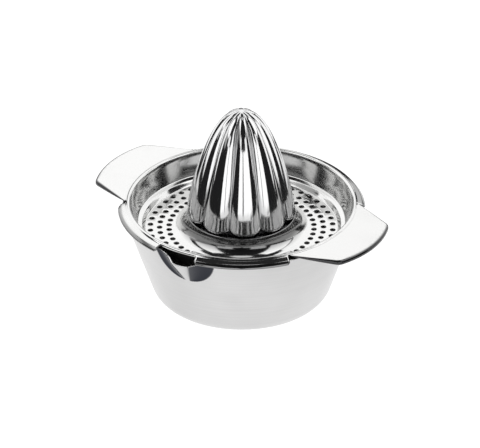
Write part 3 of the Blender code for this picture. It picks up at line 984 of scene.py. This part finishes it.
def emitter(name, strength):
    """A material that only glows white, with the given strength."""
    made = bpy.data.materials.new(name)
    made.use_nodes = True
    tree = made.node_tree
    tree.nodes.clear()
    white = {"Color": (1.0, 1.0, 1.0, 1.0), "Strength": strength}
    glow = node(tree, "ShaderNodeEmission", white).outputs[0]
    node(tree, "ShaderNodeOutputMaterial", {"Surface": glow})
    return made


def staged_grid(name, points, material):
    """A grid of points as a thing of the studio, which isn't part of the press."""
    mesh = sheet_mesh(name, [points])
    mesh.materials.append(material)
    made = bpy.data.objects.new(name, mesh)
    bpy.context.scene.collection.objects.link(made)
    return made


def from_lens(across, ahead, height):
    """Turns lengths to the right of and away from the lens by VIEW_TURN into x and y."""
    x = across * cos(VIEW_TURN) - ahead * sin(VIEW_TURN)
    y = across * sin(VIEW_TURN) + ahead * cos(VIEW_TURN)
    return np.stack([x, y, height + 0 * x], -1)


def paper_floor(half_width=0.245, front=-0.75, back=0.60):
    """A flat strip of paper just under the press, long along the lens's line."""
    ahead, across = np.meshgrid(
        np.linspace(front, back, 16), np.linspace(-half_width, half_width, 9), indexing="ij"
    )
    return from_lens(across, ahead, -PAPER_DROP)


studio_world()
paper = staged_grid("paper", paper_floor(), emitter("paper_white", 1.15))
print("paper, mm:", [round(v / MM) for v in paper.dimensions])

# %% [markdown]
# A card is a patch of a sphere round the press, so its two bearings and two rises say exactly
# which directions it fills. Bearing 0 is at the lens and grows to its right. The lens itself
# doesn't see the cards. side_left and backdrop_foot are the dim ones.

# %% Cards and lamps
CARD_DISTANCE = 1.6
CARD_CENTRE_Z = 60.0 * MM
CARDS = (
    # name, bearings and rises in degrees, glow
    ("backdrop_left", (-182, -116), (22, 56), 1.55),
    ("backdrop_right", (116, 182), (22, 56), 1.5),
    ("backdrop_foot", (146, 214), (8, 22), 0.7),
    ("wing_card_left", (-146, -98), (-8, 22), 1.5),
    ("wing_card_right", (93, 146), (-8, 22), 1.5),
    ("lamp_left", (-102, -54), (28, 66), 1.8),
    ("side_left", (-114, -62), (16, 28), 0.55),
    ("lamp_right", (60, 112), (26, 70), 1.8),
    ("front_left", (-32, -2), (-6, 22), 1.7),
    ("front_right", (3, 46), (-6, 22), 1.7),
    ("high_left", (-50, -18), (22, 34), 1.4),
    ("high_right", (18, 50), (22, 34), 1.4),
    ("zenith", (-180, 180), (81, 90), 0.9),
)


def card(name, bearings, rises, glow):
    """A glowing patch of a sphere, CARD_DISTANCE from a point at about rim height."""
    bearing = np.radians(np.linspace(*bearings, 24))[None, :]
    rise = np.radians(np.linspace(*rises, 10))[:, None]
    across = CARD_DISTANCE * np.cos(rise) * np.sin(bearing)
    ahead = -CARD_DISTANCE * np.cos(rise) * np.cos(bearing)
    height = CARD_CENTRE_Z + CARD_DISTANCE * np.sin(rise) + 0 * bearing
    made = staged_grid(name, from_lens(across, ahead, height), emitter(name, glow))
    made.visible_camera = False


for settings in CARDS:
    card(*settings)
print("cards and lamps:", len(CARDS))

# %% [markdown]
# ## Camera
# A long lens far off keeps the rim's ellipse calm and the wings the same size. It looks from the
# front right, 30 degrees above the table, and is aimed a little below the rim.

# %% Camera
DISTANCE = 8.0
FIELD_WIDTH = 275.2 * MM
AIM_LEFT = 0.9 * MM
AIM_DOWN = 12.9 * MM
camera_data = bpy.data.cameras.new("camera")
camera = bpy.data.objects.new("camera", camera_data)
bpy.context.scene.collection.objects.link(camera)
bpy.context.scene.camera = camera
camera_data.sensor_width = 36.0
camera_data.lens = camera_data.sensor_width * DISTANCE / FIELD_WIDTH
camera_data.clip_start = 0.1
camera_data.clip_end = 20.0
back = Vector((sin(VIEW_TURN) * cos(VIEW_RISE), -cos(VIEW_TURN) * cos(VIEW_RISE), sin(VIEW_RISE)))
right = Vector((cos(VIEW_TURN), sin(VIEW_TURN), 0.0))
aim = Vector((0, 0, BEAD_Z)) - right * AIM_LEFT - right.cross(-back) * AIM_DOWN
camera.location = aim + back * DISTANCE
camera.rotation_mode = "QUATERNION"
camera.rotation_quaternion = (-back).to_track_quat("-Z", "Y")
bpy.context.scene.view_settings.view_transform = "Standard"
print("lens, mm:", round(camera_data.lens))
